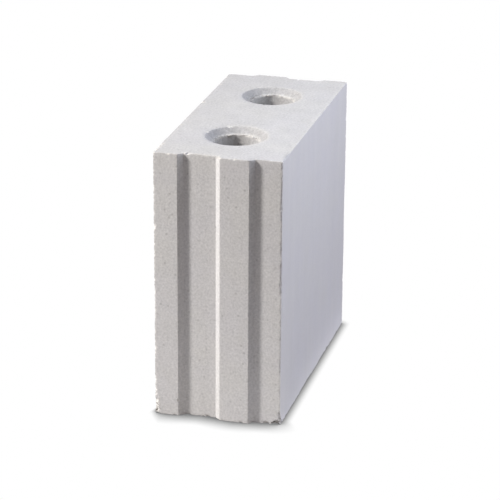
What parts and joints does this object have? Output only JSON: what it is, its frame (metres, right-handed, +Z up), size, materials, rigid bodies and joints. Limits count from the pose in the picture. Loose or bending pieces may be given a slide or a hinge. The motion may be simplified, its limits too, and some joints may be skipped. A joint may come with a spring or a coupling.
{
  "type": "calcium silicate wall block",
  "caption": "Solid sand-lime masonry block with interlocking tongue-and-groove ends and round through grip holes with funnel mouths.",
  "frame": {"origin": "middle of the bottom bed face, at the level the block rests on", "axes": "+X along the wall (the block's length), +Y through the wall's thickness, +Z up with the funnel mouths of the grip holes on top"},
  "size_m": [0.2524, 0.115, 0.248],
  "materials": {
    "calcium_silicate": "matt, fine sandy, off-white grey, as pressed and steam-hardened"
  },
  "bodies": {
    "root": {"block": "calcium_silicate"}
  },
  "joints": []
}
